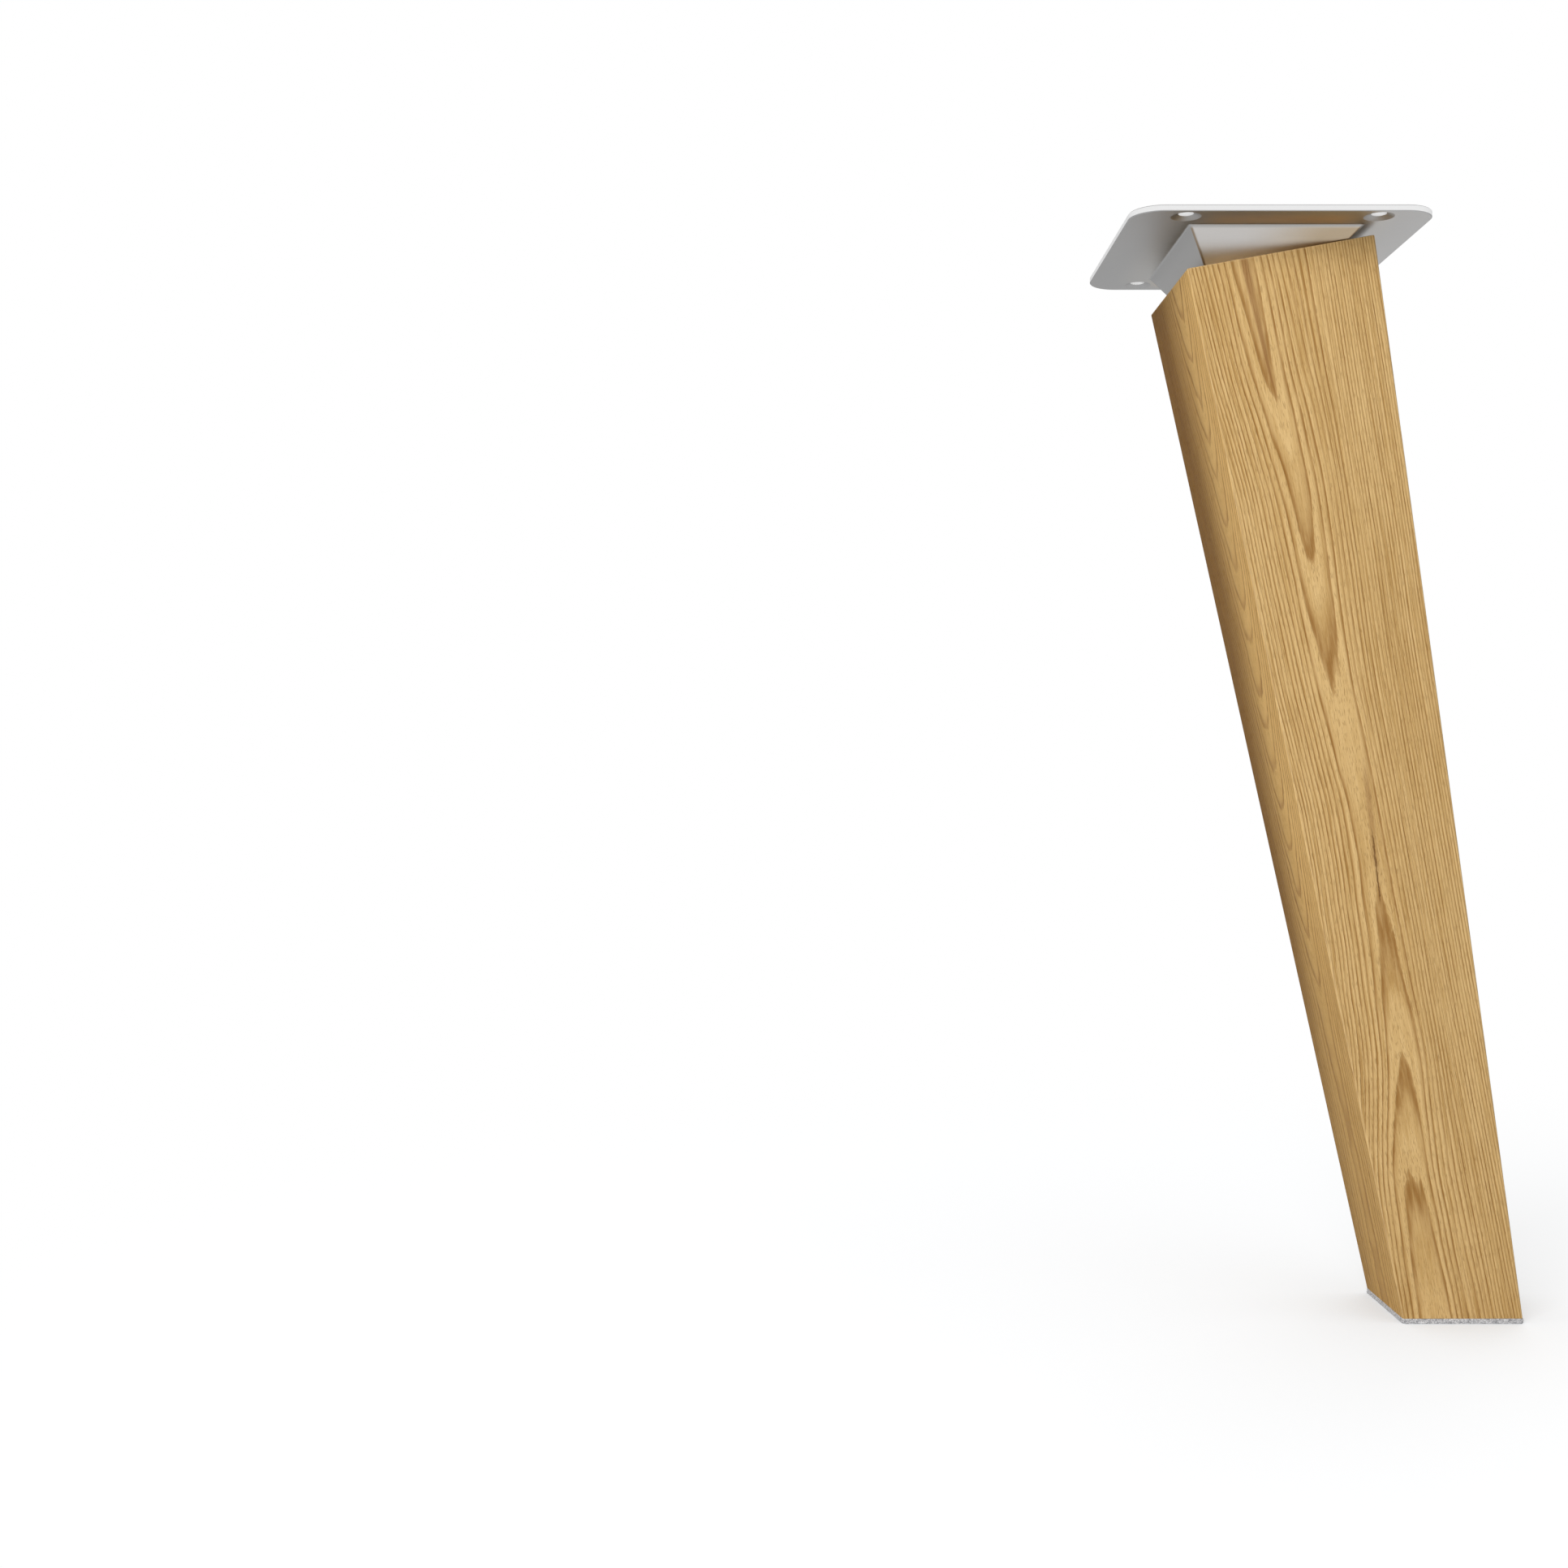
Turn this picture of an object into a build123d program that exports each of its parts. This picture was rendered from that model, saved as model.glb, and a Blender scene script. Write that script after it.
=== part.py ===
from build123d import *
from math import cos, radians, tan
import os

# The leg as a whole: its origin is the middle of the plate's top face, and it leans towards +X
overall_height = 350.0
lean = radians(10.25)

# Mounting plate: one square of steel sheet with four holes for the furniture's screws
plate_side = 94.0
plate_thickness = 2.0
plate_corner_radius = 10.0
plate_edge_chamfer = 0.25
hole_margin_x = 17.2
hole_margin_y = 6.1
hole_radius = 2.4
hole_sink_radius = 4.7
hole_sink_depth = 0.9

# Wedge pressed down in the middle of the plate, measured along the bends under its flat rim
wedge_deep_side = 27.0
wedge_shallow_side = 27.6
wedge_half_width = 33.3
draft_deep_side = radians(32.2)
draft_shallow_side = radians(44.0)
draft_flanks = radians(42.0)
bend_radius_inside = 0.8
bend_radius_outside = 1.2
bend_radius_at_mouth = 2.0

# Wooden leg: a square taper, cut square to its axis at the top and level at the foot
leg_top_offset = 2.35
leg_top_depth = 9.65
leg_top_side = 60.0
leg_foot_side = 38.0
leg_arris_radius = 0.7
leg_top_arris_radius = 0.4

# Countersunk wood screws, driven down through the wedge's landing into the end of the leg
screw_spacing = 26.0
screw_length = 45.0
screw_head_radius = 4.4
screw_shank_radius = 2.5
screw_point_length = 6.0
screw_tip_radius = 0.4
screw_cross_length = 5.0
screw_cross_width = 1.1
screw_cross_depth = 1.6
screw_clearance = 0.1

# Felt pad glued under the foot
pad_thickness = 1.6
pad_overhang = 0.3

# The seat is where the wedge's landing lies on the leg's top, square to the leg's axis
seat = Plane(
    origin=(leg_top_offset, 0, -leg_top_depth),
    x_dir=(cos(lean), 0, cos(lean) * tan(lean)),
    z_dir=(-tan(lean), 0, 1),
)
landing_top = seat.offset(plate_thickness)
foot_height = overall_height - pad_thickness
screw_places = [
    landing_top.location * place
    for place in GridLocations(screw_spacing, screw_spacing, 2, 2)
]


def crossed(elevation_across, elevation_along, reach):
    """The solid that has one outline seen along Y and the other seen along X."""
    seen_along_y = extrude(Plane.XZ * make_face(elevation_across), reach, both=True)
    seen_along_x = extrude(Plane.YZ * make_face(elevation_along), reach, both=True)
    return seen_along_y & seen_along_x


def wedge_form(skin, bend_radius):
    """The punch's shape, skin inside the sheet's underside: four drafted walls and the landing."""
    lowest = leg_top_depth + (wedge_deep_side + leg_top_offset) * tan(lean)

    def wall(distance, draft, height):
        """How far from the middle a drafted wall stands at one height."""
        return distance - (-plate_thickness - height) * tan(draft) - skin / cos(draft)

    across = Polyline(
        (-wall(wedge_deep_side, draft_deep_side, 0), 0),
        (wall(wedge_shallow_side, draft_shallow_side, 0), 0),
        (wall(wedge_shallow_side, draft_shallow_side, -lowest), -lowest),
        (-wall(wedge_deep_side, draft_deep_side, -lowest), -lowest),
        close=True,
    )
    along = Polyline(
        (-wall(wedge_half_width, draft_flanks, 0), 0),
        (wall(wedge_half_width, draft_flanks, 0), 0),
        (wall(wedge_half_width, draft_flanks, -lowest), -lowest),
        (-wall(wedge_half_width, draft_flanks, -lowest), -lowest),
        close=True,
    )
    form = crossed(across, along, plate_side)
    form = split(form, bisect_by=seat.offset(skin), keep=Keep.TOP)
    mouth = form.faces().sort_by(Axis.Z)[-1].edges()
    return fillet(form.edges() - mouth, bend_radius)


def rim_hole():
    """A screw hole through the flat rim, sunk a little from below."""
    through = Cylinder(hole_radius, plate_thickness, align=(Align.CENTER, Align.CENTER, Align.MAX))
    sink = Cone(
        hole_sink_radius,
        hole_radius,
        hole_sink_depth,
        align=(Align.CENTER, Align.CENTER, Align.MIN),
    )
    return through + Pos(0, 0, -plate_thickness) * sink


def landing_hole():
    """A countersunk hole in the landing: the cone is the screw head's own seat."""
    through = Cylinder(
        screw_shank_radius + screw_clearance,
        plate_thickness,
        align=(Align.CENTER, Align.CENTER, Align.MAX),
    )
    sink_depth = screw_head_radius - screw_shank_radius
    sink = Cone(
        screw_shank_radius,
        screw_head_radius,
        sink_depth,
        align=(Align.CENTER, Align.CENTER, Align.MAX),
    )
    return through + sink


def mounting_plate():
    """Flat rim and pressed wedge in one sheet of even thickness."""
    blank = RectangleRounded(plate_side, plate_side, plate_corner_radius)
    rim = extrude(blank, -plate_thickness)
    levels = rim.edges().group_by(Axis.Z)
    rim = chamfer(levels[0] + levels[-1], plate_edge_chamfer)
    plate = rim + wedge_form(0, bend_radius_outside)
    underside = plate.faces().filter_by(Axis.Z).sort_by(Axis.Z)[0]
    plate = fillet(underside.inner_wires()[0].edges(), bend_radius_inside)
    plate -= wedge_form(plate_thickness, bend_radius_inside)
    mouth = plate.faces().sort_by(Axis.Z)[-1].inner_wires()[0].edges()
    plate = fillet(mouth, bend_radius_at_mouth)
    spacing_x = plate_side - 2 * hole_margin_x
    spacing_y = plate_side - 2 * hole_margin_y
    for place in GridLocations(spacing_x, spacing_y, 2, 2):
        plate -= place * rim_hole()
    for place in screw_places:
        plate -= place * landing_hole()
    return plate


def wood_screw():
    """A screw standing on its own axis, the top of its head at the origin."""
    cone_depth = screw_head_radius - screw_shank_radius
    outline = Polyline(
        (0, 0),
        (screw_head_radius, 0),
        (screw_shank_radius, -cone_depth),
        (screw_shank_radius, screw_point_length - screw_length),
        (screw_tip_radius, -screw_length),
        (0, -screw_length),
        close=True,
    )
    screw = revolve(Plane.XZ * make_face(outline), Axis.Z)
    slot = Box(
        screw_cross_length,
        screw_cross_width,
        screw_cross_depth,
        align=(Align.CENTER, Align.CENTER, Align.MAX),
    )
    return screw - slot - Rot(0, 0, 90) * slot


def wooden_leg(screws):
    """The tapered leg, with the holes that its screws cut."""
    axis_length = (foot_height - leg_top_depth) / cos(lean)
    reach = axis_length + leg_top_side * tan(lean)
    top = leg_top_side / 2
    end = top - (leg_top_side - leg_foot_side) / 2 * reach / axis_length
    taper = Polyline((-top, 0), (top, 0), (end, -reach), (-end, -reach), close=True)
    leg = seat.location * crossed(taper, taper, leg_top_side)
    leg = split(leg, bisect_by=Plane.XY.offset(-foot_height), keep=Keep.TOP)
    arrises = leg.edges().filter_by(lambda edge: edge.length > axis_length / 2)
    leg = fillet(arrises, leg_arris_radius)
    leg = fillet(leg.faces().sort_by(Axis.Z)[-1].edges(), leg_top_arris_radius)
    for screw in screws:
        leg -= screw
    return leg


def felt_pad(leg):
    """Felt cut to the foot's own size, a little proud of it all round."""
    foot = leg.faces().sort_by(Axis.Z)[0].bounding_box()
    outline = RectangleRounded(
        foot.size.X + 2 * pad_overhang,
        foot.size.Y + 2 * pad_overhang,
        leg_arris_radius + pad_overhang,
    )
    return extrude(Pos(foot.center().X, 0, -foot_height) * outline, -pad_thickness)


screws = [place * wood_screw() for place in screw_places]
leg = wooden_leg(screws)
nodes = {
    "mounting_plate": mounting_plate(),
    "wooden_leg": leg,
    "felt_pad": felt_pad(leg),
}
for number, screw in enumerate(screws, start=1):
    nodes[f"wood_screw_{number}"] = screw

os.makedirs("parts", exist_ok=True)
for name, solid in nodes.items():
    export_step(solid, f"parts/{name}.step")
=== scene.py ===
import bmesh
import bpy
import random
from math import ceil, cos, hypot, pi, radians, sin, tau
from mathutils import Matrix, Vector, noise


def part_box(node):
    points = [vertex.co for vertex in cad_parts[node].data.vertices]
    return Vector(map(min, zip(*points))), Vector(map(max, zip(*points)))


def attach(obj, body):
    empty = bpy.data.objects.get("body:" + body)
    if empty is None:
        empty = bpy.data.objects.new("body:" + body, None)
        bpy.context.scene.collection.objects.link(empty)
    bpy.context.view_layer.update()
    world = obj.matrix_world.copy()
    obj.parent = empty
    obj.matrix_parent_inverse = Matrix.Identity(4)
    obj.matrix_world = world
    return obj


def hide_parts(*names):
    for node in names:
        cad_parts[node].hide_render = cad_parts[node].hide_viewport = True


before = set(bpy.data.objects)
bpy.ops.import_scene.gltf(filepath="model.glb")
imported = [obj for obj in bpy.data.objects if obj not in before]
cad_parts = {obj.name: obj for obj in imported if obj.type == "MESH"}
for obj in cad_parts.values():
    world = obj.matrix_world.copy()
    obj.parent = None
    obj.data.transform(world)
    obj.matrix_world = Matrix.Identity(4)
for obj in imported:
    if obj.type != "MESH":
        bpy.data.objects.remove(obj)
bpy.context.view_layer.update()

# Wooden leg
# One length of solid oak, sawn to a square taper, planed, its arrises eased, and oiled. The top end is
# cut square to the lean and the foot level. The growth rings are cut nearly flat on the front face.
MM = 0.001
lean = radians(10.25)
seat = (2.35, 0.0, -9.65)
leg_length = 344.24
top_half = 30.0
foot_half = 19.0
foot_level = -348.4
arris = 0.8
axis_span = 40.0
straight_axis = -6.5
heart_to_left = 11.0
end_ring_width = 1.1
streak_length = 50.0
bruise_middle = 181.0
bruise_reach = 24.0
shake_middle = 196.0
shake_reach = 13.0
ring_early_pale = (0.73, 0.50, 0.225, 1)
ring_early = (0.54, 0.335, 0.122, 1)
ring_late = (0.29, 0.135, 0.032, 1)
left_face_painted_shade = (0.33, 0.26, 0.16, 1)
left_face_painted_light = (1.12, 1.06, 0.90, 1)
streak_brown = (0.30, 0.15, 0.052, 1)
shake_brown = (0.17, 0.075, 0.022, 1)
rubbed_and_highlight_pale = (0.76, 0.55, 0.28, 1)
oiled_end = (0.36, 0.20, 0.075, 1)


def feed(tree, socket, value):
    """Gives an input a link or a fixed value."""
    if isinstance(value, Field):
        value = value.socket
    if isinstance(value, bpy.types.NodeSocket):
        tree.links.new(value, socket)
    elif value is not None:
        socket.default_value = value


def step(tree, kind, *values, **settings):
    """One shader node with its settings by name and its inputs in their order."""
    node = tree.nodes.new("ShaderNode" + kind)
    for name, value in settings.items():
        setattr(node, name, value)
    for socket, value in zip(node.inputs, values):
        feed(tree, socket, value)
    return node


class Field:
    """A number that varies over a surface: arithmetic on it lays Math nodes in the material."""

    def __init__(self, tree, socket):
        self.tree = tree
        self.socket = socket

    def maths(self, operation, *others):
        """A Math node on this number and the others."""
        return Field(self.tree, step(self.tree, "Math", self, *others, operation=operation).outputs[0])

    def __add__(self, other):
        return self.maths("ADD", other)

    def __sub__(self, other):
        return self.maths("SUBTRACT", other)

    def __mul__(self, other):
        return self.maths("MULTIPLY", other)

    def __truediv__(self, other):
        return self.maths("DIVIDE", other)

    def __pow__(self, other):
        return self.maths("POWER", other)

    def __abs__(self):
        return self.maths("ABSOLUTE")

    def above(self, limit):
        """One where this number is over the limit, nought elsewhere."""
        return self.maths("GREATER_THAN", limit)

    def inverse(self):
        """One less this number."""
        return self * -1 + 1

    def between(self, low, high, to_low=0.0, to_high=1.0):
        """A soft step from to_low, at low, to to_high, at high."""
        values = (self, low, high, to_low, to_high)
        node = step(self.tree, "MapRange", *values, interpolation_type="SMOOTHSTEP")
        return Field(self.tree, node.outputs[0])

    def curve(self, *points):
        """The value that a smooth curve through these points gives it, all from 0 to 1."""
        node = step(self.tree, "FloatCurve", 1.0, self)
        line = node.mapping.curves[0]
        for _ in range(len(points) - 2):
            line.points.new(0.5, 0.5)
        for point, (across, up) in zip(line.points, points):
            point.location = (across, up)
        node.mapping.update()
        return Field(self.tree, node.outputs[0])

    def choose(self, if_zero, if_one):
        """Mixes two numbers by this one."""
        node = self.tree.nodes.new("ShaderNodeMix")
        feed(self.tree, node.inputs[0], self)
        feed(self.tree, node.inputs[2], if_zero)
        feed(self.tree, node.inputs[3], if_one)
        return Field(self.tree, node.outputs[0])

    def tint(self, if_zero, if_one, blend_type="MIX"):
        """Mixes two colours by this number."""
        node = self.tree.nodes.new("ShaderNodeMix")
        node.data_type = "RGBA"
        node.blend_type = blend_type
        feed(self.tree, node.inputs[0], self)
        feed(self.tree, node.inputs[6], if_zero)
        feed(self.tree, node.inputs[7], if_one)
        return node.outputs[2]


def blank_material(name):
    """A material with one principled shader, and the part's own coordinates in millimetres."""
    material = bpy.data.materials.new(name)
    material.use_nodes = True
    tree = material.node_tree
    surface = tree.nodes["Principled BSDF"]
    metres = step(tree, "TexCoord").outputs["Object"]
    millimetres = step(tree, "VectorMath", metres, operation="SCALE")
    millimetres.inputs["Scale"].default_value = 1 / MM
    return material, tree, surface, millimetres.outputs[0]


def along(tree, place, direction):
    """How far a place lies along a direction."""
    return Field(tree, step(tree, "VectorMath", place, direction, operation="DOT_PRODUCT").outputs["Value"])


def cloud(tree, place, stretch, detail=2.0, roughness=0.5):
    """Soft noise about zero, of so many swells to the millimetre along each axis."""
    stretched = step(tree, "VectorMath", place, stretch, operation="MULTIPLY").outputs[0]
    node = step(tree, "TexNoise", stretched, None, 1.0, detail, roughness)
    return Field(tree, node.outputs[0]) - 0.5


def together(tree, x, y, z):
    """Three numbers as one place."""
    return step(tree, "CombineXYZ", x, y, z).outputs[0]


def relief(tree, surface, height, depth, strength):
    """Raises the surface by height times depth, in metres."""
    node = step(tree, "Bump", strength, depth)
    feed(tree, node.inputs["Height"], height)
    tree.links.new(node.outputs[0], surface.inputs["Normal"])


class LegPlace:
    """Where a point lies in the leg's own directions, and on which of its faces."""

    def __init__(self, tree, place):
        self.tree = tree
        self.from_seat = step(tree, "VectorMath", place, seat, operation="SUBTRACT").outputs[0]
        self.across = along(tree, self.from_seat, (cos(lean), 0, sin(lean)))
        self.back = along(tree, self.from_seat, (0, 1, 0))
        self.down = along(tree, self.from_seat, (sin(lean), 0, -cos(lean)))

        # The nearest side of the square tells which of the four faces it is
        self.half = self.down * ((foot_half - top_half) / leg_length) + top_half
        self.share_across = self.across / self.half
        self.share_back = self.back / self.half
        self.side_face = abs(self.share_across).above(abs(self.share_back))
        self.far_face = self.side_face.choose(self.share_back, self.share_across).above(0)
        self.face = self.by_face(1.0, 2.0, 3.0, 4.0)
        self.lateral = self.side_face.choose(self.across, self.back)

        # A point on a sawn end lies within a hair of the seat or of the foot's level
        level = along(tree, place, (0, 0, 1))
        at_foot = (level * -1).above(-foot_level - 0.05)
        self.end = (self.down * -1).above(-0.12).maths("MAXIMUM", at_foot)

        # Each face shows its own stretch of the noise: board at full scale, fibre drawn out down the leg
        self.board = together(tree, self.lateral, self.down, self.face * 40)
        self.ragged = cloud(tree, self.board, (1 / 0.7, 1 / 2.0, 1), 1)
        grain = step(tree, "Mix", self.end, data_type="VECTOR")
        feed(tree, grain.inputs[4], together(tree, self.lateral, self.down / 14, self.face * 40))
        feed(tree, grain.inputs[5], together(tree, self.across, self.back, 7.0))
        self.fibre = grain.outputs[1]

    def by_face(self, front, rear, left, right):
        """The one of four values that belongs to the point's own face."""
        return self.side_face.choose(self.far_face.choose(front, rear), self.far_face.choose(left, right))


def beside_the_heart(leg):
    """How far a point lies to the side of the line where the rings are flat to its face."""
    front_axis = (leg.down / leg_length).curve(
        (0.0, 0.19), (0.105, 0.25), (0.275, 0.333), (0.40, 0.343), (0.56, 0.42),
        (0.66, 0.40), (0.765, 0.362), (0.865, 0.29), (1.0, 0.27),
    ) * axis_span - axis_span / 2
    rear_axis = leg.down.between(40, 300, 9, -3)
    left_axis = leg.down.between(60, 240, -11.5, -2.0)
    right_axis = leg.down.between(0, 340, 12, 4)
    wander = cloud(leg.tree, together(leg.tree, leg.face * 9, leg.down, 0.0), (1, 1 / 45, 1), 1) * 3.0
    axis_here = leg.by_face(front_axis, rear_axis, left_axis, right_axis) + wander

    # Towards the right the lines run straight down the leg
    straighter = leg.lateral.between(-3, 13, 0.0, 1.0) * leg.by_face(0.9, 0.5, 0.0, 0.0)
    return leg.lateral - straighter.choose(axis_here, straight_axis)


def ring_count(leg, aside):
    """A running count of growth rings: the whole part says which ring, the rest how far through it."""
    # The cut slopes to the rings, so that on the front they show as tips pointing down, then up
    down = leg.down
    front_slope = (down / leg_length).curve(
        (0.0, 0.13), (0.105, 0.278), (0.273, 0.59), (0.398, 0.903), (0.495, 0.96),
        (0.59, 0.903), (0.765, 0.59), (0.863, 0.278), (1.0, 0.03),
    ) * 3.2 - 1.96
    rear_slope = (down - 235) * (down - 235) * 1.1e-4
    uneven_years = cloud(leg.tree, together(leg.tree, 3.0, down, 5.0), (1, 1 / 18, 1), 1)
    left_slope = down.maths("SMOOTH_MIN", 240, 40) / 13.5 + uneven_years * 0.9
    right_slope = down / -42
    slope = leg.by_face(front_slope, rear_slope, left_slope, right_slope)

    # Out from the heart the rings close up, faster where the tips are pointed than where they are round
    heart_depth = leg.by_face(14.5, 16, 24, 18)
    ring_width = leg.by_face(0.85, 0.95, 1.1, 1.0)
    pointed = (down / leg_length).curve(
        (0.0, 1.0), (0.22, 1.0), (0.29, 0.85), (0.34, 0.22), (0.40, 0.12),
        (0.46, 0.22), (0.58, 0.90), (0.66, 0.80), (0.74, 0.42), (1.0, 0.42),
    )
    out = (heart_depth * heart_depth + aside * aside) ** 0.5 - heart_depth
    out = out * abs(aside).between(0, 9, pointed, 1.0)

    # Nothing grows quite even: slow swells, and ragged edges here and there
    slow_swell = cloud(leg.tree, leg.board, (1 / 9, 1 / 100, 1), 2) * 0.8
    quick_swell = cloud(leg.tree, leg.board, (1 / 2.2, 1 / 40, 1), 2) * 0.35
    ragged_zone = cloud(leg.tree, leg.board, (1 / 14, 1 / 60, 1), 1).between(-0.14, 0.12, 0.0, 0.16)
    ragged_zone = ragged_zone * down.between(150, 230, 0.45, 1.0)
    on_face = out / ring_width + slope + (slow_swell + quick_swell) + leg.ragged * ragged_zone

    # The two sawn ends show the rings as arcs about the heart
    to_heart = leg.across + heart_to_left
    heart = (to_heart * to_heart + leg.back * leg.back) ** 0.5
    on_end = heart / end_ring_width + cloud(leg.tree, leg.from_seat, (1 / 7, 1 / 7, 0)) * 0.8
    return leg.end.choose(on_face, on_end)


def oiled_oak():
    """Oak with its rings, lines and pores under a matt oil, its own marks, and painted light and shade."""
    material, tree, surface, place = blank_material("oiled_oak")
    leg = LegPlace(tree, place)
    down = leg.down
    aside = beside_the_heart(leg)
    rings = ring_count(leg, aside)

    # Each ring darkens slowly to its late wood and stops there, some rings much more than others
    part = rings.maths("FRACT")
    ring = rings.maths("FLOOR") + leg.face * 31
    strength = Field(tree, step(tree, "TexWhiteNoise", None, ring, noise_dimensions="1D").outputs[0])
    late = part.curve((0.0, 0.06), (0.30, 0.03), (0.60, 0.24), (0.80, 0.84), (0.90, 1.0), (1.0, 0.06))
    uneven = cloud(tree, leg.fibre, (1 / 1.2, 1 / 0.9, 1), 2).between(-0.3, 0.16, 0.45, 1.0)
    late = leg.side_face.choose(late, late ** 1.8 * abs(aside).between(0, 5, 0.6, 1.0))
    late = late * strength.between(0.05, 0.85, aside.between(2, 12, 0.8, 0.6), 1.0) * uneven

    # Fine parallel lines follow the rings, closest together at the right of the front face
    growth = together(tree, rings * aside.between(1, 10, 1.9, 2.7), down / 80, leg.face * 13)
    lines = cloud(tree, growth, (1, 1, 1), 3, 0.75) * leg.by_face(1.0, 1.0, 0.4, 1.0)
    lines = lines * (abs(aside).between(3, 12, 1.0, 1.6) - aside.between(3, 12, 0.0, 0.1))

    # Open pores in the first wood of each ring, and the fibres between them
    pore = cloud(tree, leg.fibre, (1 / 0.26, 1 / 0.22, 1), 1, 0.6).between(0.06, 0.20)
    pore = pore * part.between(0.05, 0.75, 1.0, 0.35)
    streaks = cloud(tree, leg.fibre, (1 / 0.40, 1 / 1.6, 1), 3, 0.75)
    tone = cloud(tree, leg.fibre, (1 / 16, 1 / 7, 1), 2)
    fleck = cloud(tree, leg.fibre, (1 / 3.2, 1 / 1.1, 1), 3, 0.6)
    pale = streaks * 2.4 + lines * 2.4 + tone + fleck * 0.5 + 0.64
    pale = pale.maths("MAXIMUM", 0).maths("MINIMUM", 1)
    colour = pale.tint(ring_early, ring_early_pale)
    colour = ((lines * -1).between(0.02, 0.42) * 0.5).tint(colour, ring_late)
    colour = (late * 0.95).tint(colour, ring_late)
    colour = (pore * 0.42).tint(colour, ring_late)

    # The left face has painted light over it, and painted shade that darkens it towards the back arris
    left_face = leg.side_face * leg.far_face.inverse() * leg.end.inverse()
    from_front = (leg.share_back + 1) / 2
    upper_part = (from_front - down.between(60, 200, 0.0, 0.14) + streaks * 0.08).curve(
        (0.0, 0.0), (0.12, 0.02), (0.25, 0.15), (0.45, 0.50), (0.60, 0.73), (0.75, 0.94), (1.0, 1.0)
    )
    lower_part = from_front.curve((0.0, 0.22), (0.45, 0.28), (0.60, 0.33), (0.75, 0.45), (1.0, 0.62))
    dark = down.between(180, 300).choose(upper_part, lower_part)
    # Painted light over the whole left face, then painted shade towards its back arris
    colour = left_face.tint(colour, left_face_painted_light, "MULTIPLY")
    colour = (left_face * dark).tint(colour, left_face_painted_shade, "MULTIPLY")

    # A brown streak that runs in from the top end of the front face
    front = leg.share_back.between(-0.93, -0.97)
    streak_width = down.between(0, streak_length - 2, 1.5, 0.25)
    streak = (abs(aside - 0.4) / streak_width).between(0.3, 1.35, 1.0, 0.0)
    streak = streak * down.between(streak_length - 12, streak_length, 1, 0)
    colour = (streak * front * (streaks * 1.5 + 0.8)).tint(colour, streak_brown)

    # A short dark shake at mid-height, and the brown bruise that leads to it
    from_shake = abs(leg.across + 3.05 + (down - shake_middle) * 0.055 + leg.ragged * 0.9)
    bruise = (from_shake / 1.3).between(0.2, 1.2, 1.0, 0.0)
    bruise = bruise * (abs(down - bruise_middle) / bruise_reach).between(0.3, 1.0, 1.0, 0.0)
    colour = (bruise * front * (streaks * 1.5 + 0.5)).tint(colour, streak_brown)
    shake_run = abs(down - shake_middle) / shake_reach
    shake_width = (shake_run * -0.26 + 0.34).maths("MAXIMUM", 0.02)
    shake = (from_shake / shake_width).between(0.3, 1.5, 1.0, 0.0) * shake_run.between(0.7, 1.0, 1, 0)
    shake = shake * (streaks * 1.8 + 0.7).between(0, 1, 0, 1) * front
    colour = shake.tint(colour, shake_brown)

    # Eased arrises and the top edge: rubbed paler and a painted highlight; sawn ends soak up more oil
    nearest = abs(leg.share_across).maths("MINIMUM", abs(leg.share_back))
    to_arris = nearest.inverse() * leg.half
    rubbed_and_highlight = to_arris.between(0.2, arris, 1.0, 0.0).maths("MAXIMUM", down.between(0.1, 0.7, 1, 0))
    # Wear and painted highlight: paler along the arrises and the top edge
    colour = (rubbed_and_highlight * (streaks * 1.2 + 0.42)).tint(colour, rubbed_and_highlight_pale)
    colour = (leg.end * 0.08).tint(colour, oiled_end)
    feed(tree, surface.inputs["Base Color"], colour)
    feed(tree, surface.inputs["Roughness"], streaks * 0.25 - late * 0.10 + pore * 0.12 + 0.60)
    surface.inputs["Specular IOR Level"].default_value = 0.035
    height = late * -0.8 - pore * 0.45 + streaks * 0.6 + lines * 0.9 - shake * 1.5
    relief(tree, surface, height, 0.00018, 0.9)
    return material


wood = oiled_oak()
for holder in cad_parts["wooden_leg"].material_slots:
    holder.material = wood

# Mounting plate
# A square of 2 mm steel sheet, pressed down in its middle to a wedge whose landing sets the leg's lean.
# Zinc plated to a satin grey; painted highlights make its sheared edges and drawn walls brighter than the
# rim.
plate_thickness = 2.0
wedge_half_x = 27.0
wedge_half_y = 33.0
satin_roughness = 0.44
rim_grey = (0.455, 0.455, 0.455, 1)
painted_light_wall_grey = (0.69, 0.68, 0.67, 1)
wall_foot_painted_light_grey = (0.98, 0.96, 0.95, 1)
mouth_painted_light_grey = (0.50, 0.49, 0.47, 1)
wall_painted_wood_reflection = (0.56, 0.46, 0.33, 1)
rim_painted_wood_reflection = (0.66, 0.53, 0.38, 1)
bend_painted_shade = (0.34, 0.26, 0.18, 1)
edge_painted_highlight_grey = (0.90, 0.90, 0.90, 1)
edge_tint = (0.74, 0.74, 0.74, 1)


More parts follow.
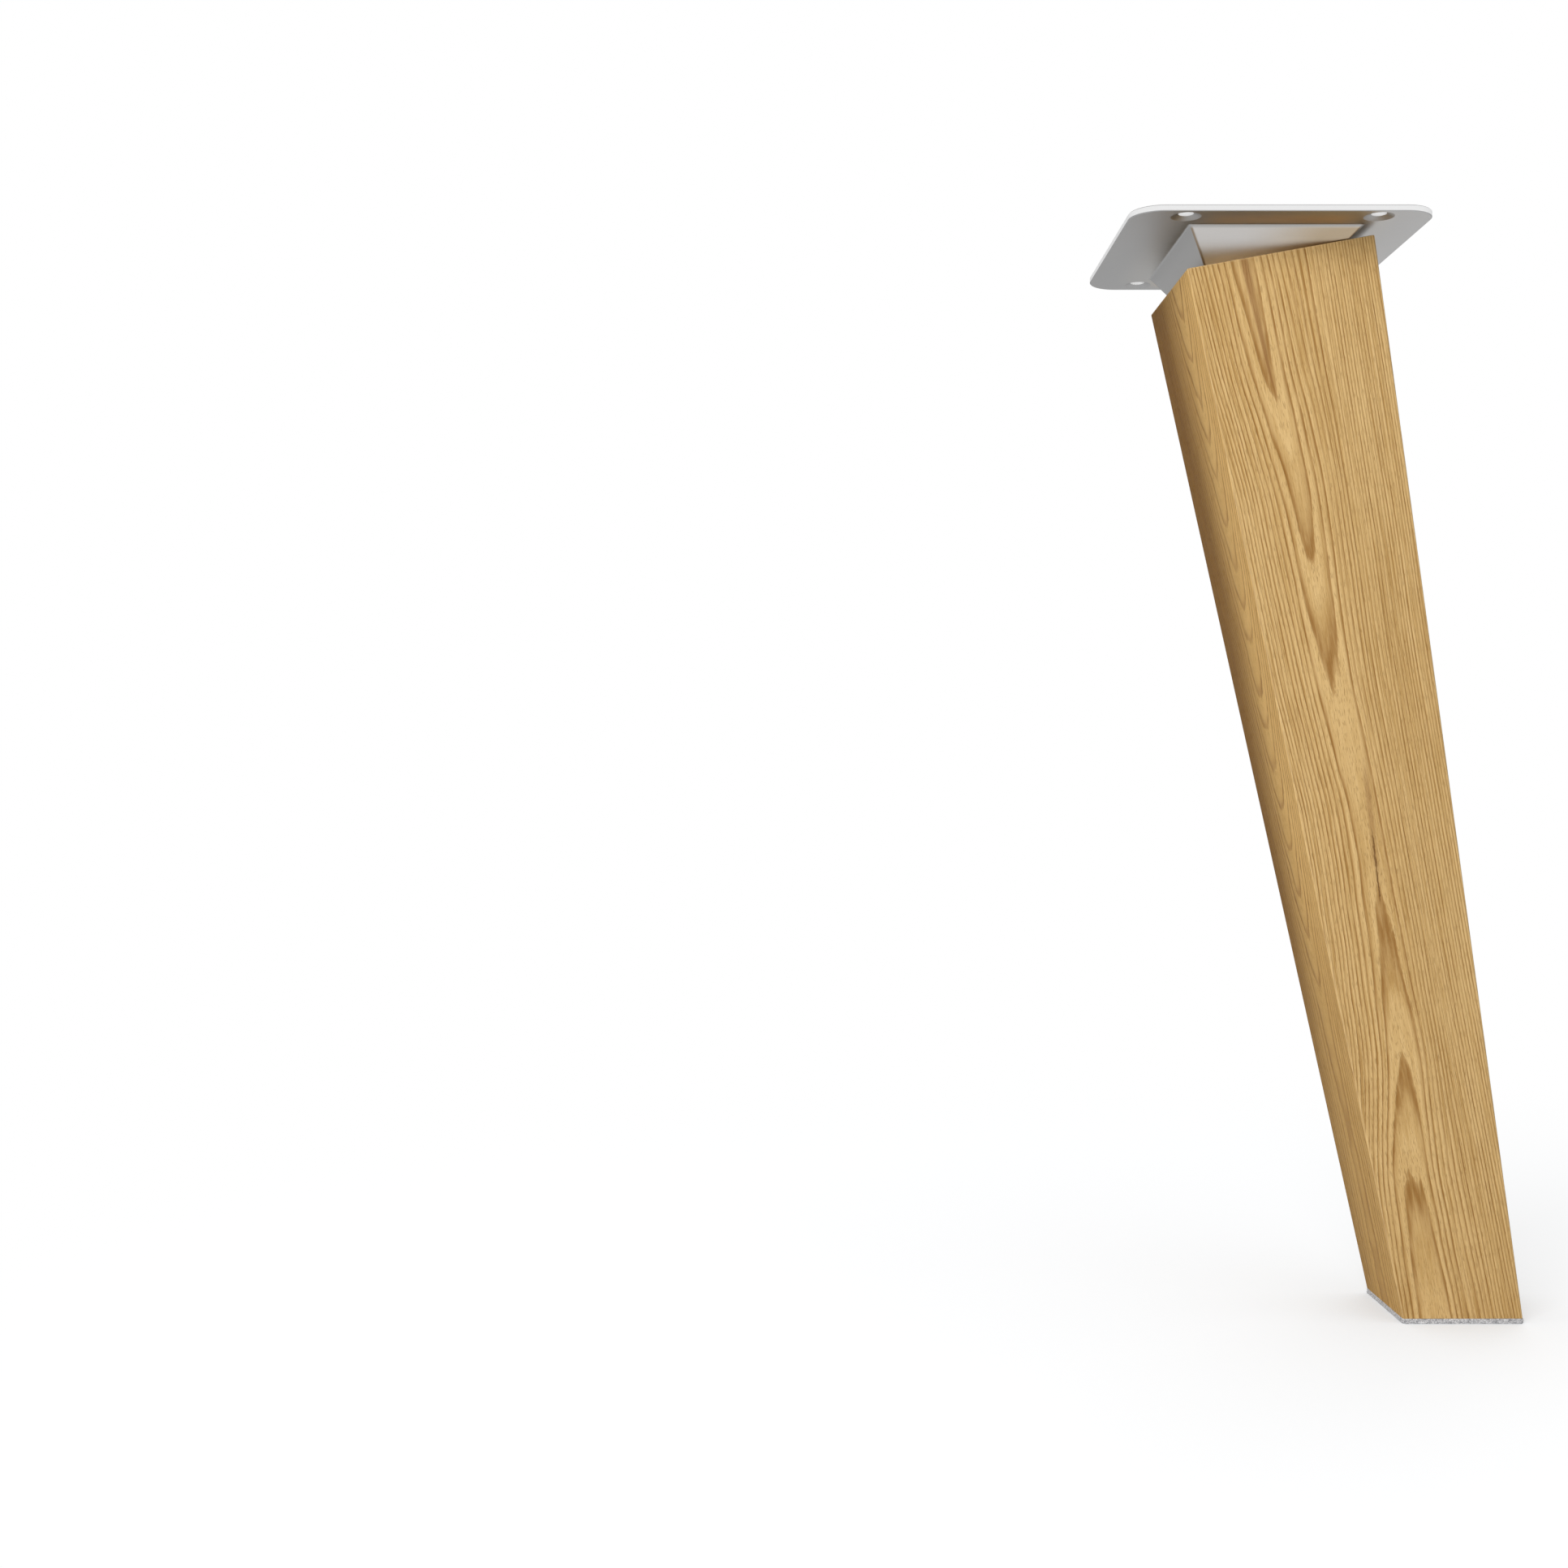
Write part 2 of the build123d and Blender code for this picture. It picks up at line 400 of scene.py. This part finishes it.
def satin_zinc():
    """Zinc-plated sheet: satin rim, painted brighter where sheared or drawn, painted reflections of wood.
    """
    material, tree, surface, place = blank_material("satin_zinc")
    level = along(tree, place, (0, 0, 1))
    across_sheet = along(tree, place, (1, 0, 0))
    back_sheet = along(tree, place, (0, 1, 0))
    from_seat = step(tree, "VectorMath", place, seat, operation="SUBTRACT").outputs[0]
    above_seat = along(tree, from_seat, (-sin(lean), 0, cos(lean)))

    # Which way the sheet faces: flat rim, sheared edge, drawn walls, and their bends
    normal = step(tree, "NewGeometry").outputs["Normal"]
    facing = along(tree, normal, (0, 0, 1))
    sideways = abs(along(tree, normal, (0, 1, 0)))
    flat = abs(facing).between(0.97, 0.999)
    upright = abs(facing).between(0.25, 0.08)
    below = (facing * -1).between(0.0, 0.5)
    at_edge = level.between(-plate_thickness - 0.3, -plate_thickness + 0.1) * upright
    drawn = (level * -1).between(plate_thickness + 0.3, plate_thickness + 1.2) * flat.inverse()
    flank = sideways.between(0.3, 0.6)
    bend = sideways.between(0.02, 0.30) * sideways.between(0.50, 0.73, 1.0, 0.0) * drawn * below

    # Painted light: the rim paler round the wedge's mouth, the walls brighter; painted wood reflections
    beside_x = (abs(across_sheet) - wedge_half_x).maths("MAXIMUM", 0)
    beside_y = (abs(back_sheet) - wedge_half_y).maths("MAXIMUM", 0)
    beside_wedge = (beside_x * beside_x + beside_y * beside_y) ** 0.5
    halo = beside_wedge.between(4, 13, 1.0, 0.0) * flat * below
    beside_wood = halo * abs(across_sheet).between(16, 28, 1.0, 0.0) * beside_y.between(0.0, 1.5)
    shallow_end = across_sheet.between(-14, 16)
    outer_flank = drawn * flank * below
    near_wood = outer_flank * above_seat.between(2.0, 12.0, 1.0, 0.0) * shallow_end
    wall_foot_painted_light = outer_flank * above_seat.between(0.5, 5.0, 1.0, 0.0) * shallow_end.inverse()
    # Painted light: the front and rear walls much brighter than the rim, the side walls a little
    colour = (drawn * (flank * 0.9 + 0.1)).tint(rim_grey, painted_light_wall_grey)
    # Painted light: a paler ring of rim round the wedge's mouth
    colour = (halo * 0.6).tint(colour, mouth_painted_light_grey)
    # Painted reflection of the wood on the rim beside it
    colour = beside_wood.tint(colour, rim_painted_wood_reflection)
    # Painted reflection of the wood on the walls at the wedge's shallow end
    colour = near_wood.tint(colour, wall_painted_wood_reflection)
    # Painted light near the foot of the front and rear walls at the wedge's deep end
    colour = (wall_foot_painted_light * 0.9).tint(colour, wall_foot_painted_light_grey)
    # Painted shade, brown, along the bends of the walls
    colour = (bend * 0.9).tint(colour, bend_painted_shade)

    # Zinc crystals, the sheet's rolling lines and fine scuffs, and painted shade darker to the left
    mottle = cloud(tree, place, (1 / 1.1, 1 / 1.1, 1 / 1.1), 3, 0.6)
    sheen = cloud(tree, place, (1 / 22, 1 / 22, 1 / 22), 2)
    rolled = cloud(tree, place, (1 / 9, 1 / 0.35, 1 / 0.35), 2, 0.6)
    scuff = cloud(tree, place, (1 / 0.5, 1 / 14, 1 / 2), 2, 0.7).between(0.16, 0.26)
    # Painted shade: the rim darker to the left, brighter to the right, and the side walls darker
    painted_shade_from_left = flat.choose(flank.choose(0.88, 1.0), across_sheet.between(-50, 50, 0.88, 1.22))
    shade = mottle * 0.05 + sheen * 0.08 + rolled * 0.04 + painted_shade_from_left
    shaded = step(tree, "VectorMath", colour, operation="SCALE")
    feed(tree, shaded.inputs["Scale"], shade)
    # Painted highlight: the sheared edges near white
    colour = (at_edge * 0.95).tint(shaded.outputs[0], edge_painted_highlight_grey)
    feed(tree, surface.inputs["Base Color"], colour)
    rough = mottle * 0.04 + sheen * 0.05 + scuff * 0.06 + drawn * 0.06 + satin_roughness
    feed(tree, surface.inputs["Roughness"], rough)
    surface.inputs["Metallic"].default_value = 1.0
    surface.inputs["Specular Tint"].default_value = edge_tint
    relief(tree, surface, mottle * 0.5 + rolled * 0.5, 0.00001, 0.4)
    return material


zinc = satin_zinc()
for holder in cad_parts["mounting_plate"].material_slots:
    holder.material = zinc

# Wood screws
# Four countersunk steel screws with crossed recesses and rolled threads, driven through the landing into
# the end of the leg. Their heads lie flush in the landing; the threads are in the wood.
screw_spacing = 26.0
screw_length = 45.0
head_radius = 4.4
head_cone = 1.9
crest_radius = 2.5
root_radius = 1.75
shank_radius = 2.1
thread_pitch = 2.4
thread_start = 9.0
thread_rows_per_turn = 8
point_start = 38.0
recess_arm = 2.45
recess_half_width = 0.5
recess_depth = 1.9
screw_sides = 64
screw_dull = (0.44, 0.43, 0.41, 1)
screw_bright = (0.60, 0.59, 0.56, 1)
screw_worn = (0.70, 0.69, 0.67, 1)
landing_top = Vector(seat) * MM + Vector((-sin(lean), 0, cos(lean))) * plate_thickness * MM


def recess_edge(angle, arm, half_width):
    """How far the crossed recess reaches from the screw's axis in one direction."""
    turned = (angle + pi / 4) % (pi / 2) - pi / 4
    return min(half_width / max(abs(sin(turned)), 1e-6), arm / cos(turned))


def thread_ring(depth, angles):
    """One ring of the thread: a crest that winds round the root, and tapers off at the point."""
    taper = 1 - max(0.0, (depth - point_start) / (screw_length - point_start))
    lead_in = min(1.0, (depth - thread_start) / thread_pitch)
    ring = []
    for angle in angles:
        turn = (depth / thread_pitch - angle / tau) % 1.0
        crest = max(0.0, 1 - abs(turn - 0.5) / 0.32)
        radius = root_radius + (crest_radius - root_radius) * crest * lead_in
        ring.append((max(radius * taper, 0.04), -depth))
    return ring


def outward_mesh(name, mesh):
    """A built mesh as an object's own data, with all its faces turned outwards and shaded smooth."""
    bmesh.ops.recalc_face_normals(mesh, faces=mesh.faces)
    data = bpy.data.meshes.new(name)
    mesh.to_mesh(data)
    mesh.free()
    data.shade_smooth()
    return data


def in_scene(name, data):
    """A new object of that data in the scene."""
    thing = bpy.data.objects.new(name, data)
    bpy.context.scene.collection.objects.link(thing)
    return thing


def wood_screw(name, place):
    """One screw as rings of points: up the recess, over the head, down the cone and the thread."""
    angles = [tau * n / screw_sides for n in range(screw_sides)]

    # Up the crossed recess by arm, half width and depth, then over the head by radius and depth
    recess_rows = (
        (0.5, 0.24, recess_depth),
        (recess_arm - 0.45, recess_half_width - 0.14, 1.25),
        (recess_arm - 0.06, recess_half_width - 0.02, 0.12),
        (recess_arm, recess_half_width + 0.05, 0.02),
    )
    turned_rows = (
        (head_radius - 0.45, 0.0),
        (head_radius - 0.12, 0.02),
        (head_radius - 0.02, 0.12),
        (head_radius - 0.16, 0.26),
        (crest_radius + 0.05, head_cone),
        (shank_radius, head_cone + 0.9),
        (shank_radius, thread_start - 0.4),
    )
    rings = [[(recess_edge(a, arm, half), -depth) for a in angles] for arm, half, depth in recess_rows]
    rings += [[(radius, -depth)] * screw_sides for radius, depth in turned_rows]
    rows = ceil((screw_length - thread_start) / thread_pitch * thread_rows_per_turn)
    depths = [thread_start + (screw_length - thread_start) * row / rows for row in range(rows + 1)]
    rings += [thread_ring(depth, angles) for depth in depths]
    mesh = bmesh.new()
    turned = [
        [mesh.verts.new((r * cos(a) * MM, r * sin(a) * MM, z * MM)) for (r, z), a in zip(ring, angles)]
        for ring in rings
    ]
    for lower, upper in zip(turned, turned[1:]):
        for n in range(screw_sides):
            m = (n + 1) % screw_sides
            mesh.faces.new((lower[n], upper[n], upper[m], lower[m]))
    middle = mesh.verts.new((0, 0, -(recess_depth + 0.25) * MM))
    tip = mesh.verts.new((0, 0, -screw_length * MM))
    for n in range(screw_sides):
        m = (n + 1) % screw_sides
        mesh.faces.new((middle, turned[0][n], turned[0][m]))
        mesh.faces.new((tip, turned[-1][m], turned[-1][n]))
    data = outward_mesh(name, mesh)
    data.transform(place)
    data.set_sharp_from_angle(angle=radians(35))
    return in_scene(name, data)


def bright_zinc():
    """Zinc-plated screw steel, a little worn."""
    material, tree, surface, place = blank_material("bright_zinc")
    mottle = cloud(tree, place, (1 / 0.6, 1 / 0.6, 1 / 0.6), 3, 0.6)
    turned = cloud(tree, place, (1 / 0.12, 1 / 0.12, 1 / 3), 2)
    worn = cloud(tree, place, (1 / 2.2, 1 / 2.2, 1 / 2.2), 2).between(0.02, 0.2)
    colour = (mottle * 1.4 + 0.5).tint(screw_dull, screw_bright)
    colour = (worn * 0.4).tint(colour, screw_worn)
    feed(tree, surface.inputs["Base Color"], colour)
    surface.inputs["Metallic"].default_value = 1.0
    feed(tree, surface.inputs["Roughness"], mottle * 0.2 + worn * 0.08 + 0.27)
    relief(tree, surface, mottle + turned * 0.4, 0.00002, 0.5)
    return material


screw_zinc = bright_zinc()
landing = Matrix.Translation(landing_top) @ Matrix.Rotation(-lean, 4, "Y")
number = 0
for row in (-0.5, 0.5):
    for column in (-0.5, 0.5):
        number += 1
        spot = Matrix.Translation((row * screw_spacing * MM, column * screw_spacing * MM, 0))
        turn = Matrix.Rotation(radians(17 + 40 * number), 4, "Z")
        screw = wood_screw(f"driven_screw_{number}", landing @ spot @ turn)
        screw.data.materials.append(screw_zinc)
        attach(screw, "root")
        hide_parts(f"wood_screw_{number}")

# Felt pad
# A square of pressed grey felt glued under the level foot, a little proud of the wood all round. Its cut
# edge is speckled with pale and dark wool, and short fibres stand out of it.
pad_low, pad_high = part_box("felt_pad")
pad_thickness = pad_high.z - pad_low.z
pad_inset = 0.10 * MM
pad_corner = 1.2 * MM
pad_bevel = 0.25 * MM
outline_step = 0.42 * MM
corner_steps = 6
wall_rows = 7
fibre_count = 900
wool_dark = (0.21, 0.21, 0.225, 1)
wool_pale = (0.74, 0.74, 0.755, 1)
speck_dark = (0.17, 0.17, 0.185, 1)
speck_pale = (0.88, 0.88, 0.88, 1)


def add_fibres(mesh, points, centre, bottom, top):
    """Wool fibres: thin three-sided hairs that start inside the cut edge and curl back along it."""
    chance = random.Random(11)
    for _ in range(fibre_count):
        x, y = points[chance.randrange(len(points))]
        outward = Vector((x, y, 0)).normalized()
        sideways = Vector((-outward.y, outward.x, 0)) * chance.choice((-1, 1))
        z = chance.uniform(bottom + 0.15 * MM, top - 0.15 * MM)
        start = Vector((centre.x + x, centre.y + y, z)) - outward * 0.15 * MM
        length = chance.uniform(0.4, 1.1) * MM
        rise = chance.uniform(-0.12, 0.12) * MM
        reach = chance.uniform(0.14, 0.34) * MM
        thickness = chance.uniform(0.016, 0.030) * MM
        last = None
        for n in range(4):
            t = n / 3
            here = start + sideways * length * t + outward * (reach * sin(pi * t) + 0.12 * MM * t)
            here.z = max(bottom + 0.05 * MM, here.z + rise * t)
            size = thickness * (1 - 0.7 * t)
            hoop = [
                mesh.verts.new(here + (outward * cos(a) + Vector((0, 0, 1)) * sin(a)) * size)
                for a in (0, tau / 3, 2 * tau / 3)
            ]
            if last:
                for a, b in ((0, 1), (1, 2), (2, 0)):
                    mesh.faces.new((last[a], last[b], hoop[b], hoop[a]))
            else:
                mesh.faces.new(hoop[::-1])
            last = hoop
        mesh.faces.new(last)


def felt_square(name):
    """The pad as a skin of small faces: over the top, down the cut edge and across the underside."""
    half_x = (pad_high.x - pad_low.x) / 2 - pad_inset
    half_y = (pad_high.y - pad_low.y) / 2 - pad_inset
    centre = (pad_low + pad_high) / 2
    outline = []
    for start, (sx, sy) in enumerate(((1, 1), (-1, 1), (-1, -1), (1, -1))):
        for n in range(corner_steps + 1):
            angle = (start + n / corner_steps) * pi / 2
            outline.append((
                sx * (half_x - pad_corner) + pad_corner * cos(angle),
                sy * (half_y - pad_corner) + pad_corner * sin(angle),
            ))
    points = []
    for (x0, y0), (x1, y1) in zip(outline, outline[1:] + outline[:1]):
        pieces = max(1, round(hypot(x1 - x0, y1 - y0) / outline_step))
        points += [(x0 + (x1 - x0) * n / pieces, y0 + (y1 - y0) * n / pieces) for n in range(pieces)]

    # Rows from the middle of the top, over the rounded edge, to the middle of the underside
    top, bottom = pad_high.z, pad_low.z
    shares = (0.0, 0.25, 0.5, 0.7, 0.85, 0.94, 0.98)
    rows = [(share, top) for share in shares]
    rows += [(1 - pad_bevel * 0.3 / half_x, top - pad_bevel * 0.15)]
    wall = pad_thickness - 2 * pad_bevel
    rows += [(1.0, top - pad_bevel - wall * n / (wall_rows - 1)) for n in range(wall_rows)]
    rows += [(1 - pad_bevel * 0.3 / half_x, bottom + pad_bevel * 0.15)]
    rows += [(share, bottom) for share in reversed(shares)]
    mesh = bmesh.new()
    rings = []
    for share, z in rows:
        if share == 0.0:
            rings.append([mesh.verts.new((centre.x, centre.y, z))])
            continue
        ring = []
        for x, y in points:
            here = Vector((x * share, y * share, z))
            fine = noise.noise(here / (0.5 * MM)) * 0.06 * MM
            broad = noise.noise(here / (1.7 * MM)) * 0.05 * MM
            outward = Vector((x, y, 0)).normalized()
            moved = here + outward * (fine + broad) * (share ** 8)
            ring.append(mesh.verts.new((centre.x + moved.x, centre.y + moved.y, z)))
        rings.append(ring)
    count = len(points)
    for upper, lower in zip(rings, rings[1:]):
        for n in range(count):
            m = (n + 1) % count
            if len(upper) == 1:
                mesh.faces.new((upper[0], lower[n], lower[m]))
            elif len(lower) == 1:
                mesh.faces.new((upper[n], lower[0], upper[m]))
            else:
                mesh.faces.new((upper[n], lower[n], lower[m], upper[m]))
    add_fibres(mesh, points, centre, bottom, top)
    return in_scene(name, outward_mesh(name, mesh))


def pressed_felt():
    """Grey felt pressed from dark and pale wool, with specks of both."""
    material, tree, surface, place = blank_material("pressed_felt")
    wool = cloud(tree, place, (1 / 0.45, 1 / 0.45, 1 / 0.35), 3, 0.7)
    speck = cloud(tree, place, (1 / 1.1, 1 / 1.1, 1 / 0.7), 2, 0.6)
    colour = (wool * 3.4 + 0.58).tint(wool_dark, wool_pale)
    colour = (speck.between(0.06, 0.16) * 0.6).tint(colour, speck_dark)
    colour = ((speck * -1).between(0.06, 0.16) * 0.6).tint(colour, speck_pale)
    feed(tree, surface.inputs["Base Color"], colour)
    feed(tree, surface.inputs["Roughness"], wool * 0.2 + 0.9)
    surface.inputs["Specular IOR Level"].default_value = 0.1
    surface.inputs["Sheen Weight"].default_value = 0.25
    relief(tree, surface, wool, 0.00012, 0.8)
    return material


pad = felt_square("felt_foot_pad")
pad.data.materials.append(pressed_felt())
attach(pad, "root")
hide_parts("felt_pad")

# Floor
# A plain white studio floor that keeps the soft shadow round the foot, and from there fades into the
# white that the camera and every reflection see all round. Just under the pad, where nothing of it shows,
# it is open, so that the felt's underside has light when it is looked at from below.
floor_level = pad_low.z - 0.05 * MM
floor_reach = 6.0
opening_inset = 0.5 * MM
fade_start = 0.10
fade_end = 0.55
shadow_reach = 0.30
floor_paper = (0.8, 0.8, 0.8, 1)
floor_shown = (0.411, 0.42, 0.431, 1)
white = (1, 1, 1, 1)


def studio_floor():
    """Four flat sides round a square opening, in one level sheet."""
    data = bpy.data.meshes.new("floor")
    corners = [(-floor_reach, -floor_reach), (floor_reach, -floor_reach), (floor_reach, floor_reach)]
    corners.append((-floor_reach, floor_reach))
    low_x, low_y = pad_low.x + opening_inset, pad_low.y + opening_inset
    high_x, high_y = pad_high.x - opening_inset, pad_high.y - opening_inset
    corners += [(low_x, low_y), (high_x, low_y), (high_x, high_y), (low_x, high_y)]
    sides = [(0, 1, 5, 4), (1, 2, 6, 5), (2, 3, 7, 6), (3, 0, 4, 7)]
    data.from_pydata([(x, y, floor_level) for x, y in corners], [], sides)
    return in_scene("floor", data)


def sees_white(tree):
    """One for the rays that see the room as plain white: the camera's, off gloss and through glass."""
    rays = step(tree, "LightPath")
    seen = Field(tree, rays.outputs["Is Camera Ray"])
    seen = seen.maths("MAXIMUM", Field(tree, rays.outputs["Is Glossy Ray"]))
    return seen.maths("MAXIMUM", Field(tree, rays.outputs["Is Transmission Ray"]))


def white_floor():
    """Paper that lights the leg as paper does, but is seen as white with only the near shadow on it."""
    material = bpy.data.materials.new("white_floor")
    material.use_nodes = True
    tree = material.node_tree
    tree.nodes.clear()
    output = step(tree, "OutputMaterial")
    place = step(tree, "TexCoord").outputs["Object"]
    foot = (pad_low + pad_high) / 2
    away = Field(tree, step(tree, "VectorMath", place, foot, operation="DISTANCE").outputs["Value"])
    paper = step(tree, "BsdfDiffuse", floor_paper)
    glare = step(tree, "Emission", white, 1.0)
    shown = step(tree, "BsdfDiffuse", floor_shown)
    open_sky = Field(tree, step(tree, "AmbientOcclusion", None, shadow_reach, samples=12).outputs["AO"])
    glow = step(tree, "Emission", white, open_sky * 0.38 + 0.315)
    near = step(tree, "AddShader", shown.outputs[0], glow.outputs[0])
    blended = step(tree, "MixShader", away.between(fade_start, fade_end), near.outputs[0], glare.outputs[0])
    mixed = step(tree, "MixShader", sees_white(tree), paper.outputs[0], blended.outputs[0])
    clear = step(tree, "BsdfTransparent", white)
    beneath = step(tree, "NewGeometry").outputs["Backfacing"]
    both = step(tree, "MixShader", beneath, mixed.outputs[0], clear.outputs[0])
    tree.links.new(both.outputs[0], output.inputs["Surface"])
    return material


floor_sheet = studio_floor()
floor_sheet.data.materials.append(white_floor())

# Studio light
# A plain white room: even light from all round, one broad soft box in front and above, and a weaker one
# behind, so that the face towards the camera is the brightest and the leg's sides fall away.
room_light = 0.42
box_side = 1.2
leg_middle = (0.03, 0.0, -0.18)
front_box_place = (-1.0, -1.7, 0.75)
front_box_watts = 32.0
rear_box_place = (0.8, 1.6, 0.8)
rear_box_watts = 7.0


def studio_room():
    """The same light from everywhere, with plain white behind it for the rays that look at it."""
    world = bpy.data.worlds.new("studio")
    bpy.context.scene.world = world
    world.use_nodes = True
    tree = world.node_tree
    tree.nodes.clear()
    output = step(tree, "OutputWorld")
    dim = step(tree, "Background", white, room_light)
    bright = step(tree, "Background", white, 1.0)
    mixed = step(tree, "MixShader", sees_white(tree), dim.outputs[0], bright.outputs[0])
    tree.links.new(mixed.outputs[0], output.inputs["Surface"])


def soft_box(name, place, watts):
    """A square lamp aimed at the leg's middle. No reflection shows it."""
    data = bpy.data.lights.new(name, "AREA")
    data.shape = "SQUARE"
    data.size = box_side
    data.energy = watts
    lamp = in_scene(name, data)
    lamp.location = place
    lamp.rotation_mode = "QUATERNION"
    lamp.rotation_quaternion = (Vector(leg_middle) - Vector(place)).to_track_quat("-Z", "Y")
    lamp.visible_glossy = False


studio_room()
soft_box("front_box", front_box_place, front_box_watts)
soft_box("rear_box", rear_box_place, rear_box_watts)

# Camera
# It stands level in front and to the left of the leg, at half its height, as a product photograph does.
# The leg keeps its place at the right of a square frame.
photo_pixels = 1932
focal_pixels = 2364.3
sensor = 36.0
camera_place = (-0.15396, -0.63345, -0.17718)
camera_data = bpy.data.cameras.new("camera")
camera_data.sensor_width = sensor
camera_data.lens = focal_pixels / photo_pixels * sensor
camera_data.clip_start = 0.01
camera_data.clip_end = 50.0
camera = in_scene("camera", camera_data)
camera.location = camera_place
camera.rotation_euler = (pi / 2, 0, 0)
bpy.context.scene.camera = camera
bpy.context.scene.view_settings.view_transform = "Standard"
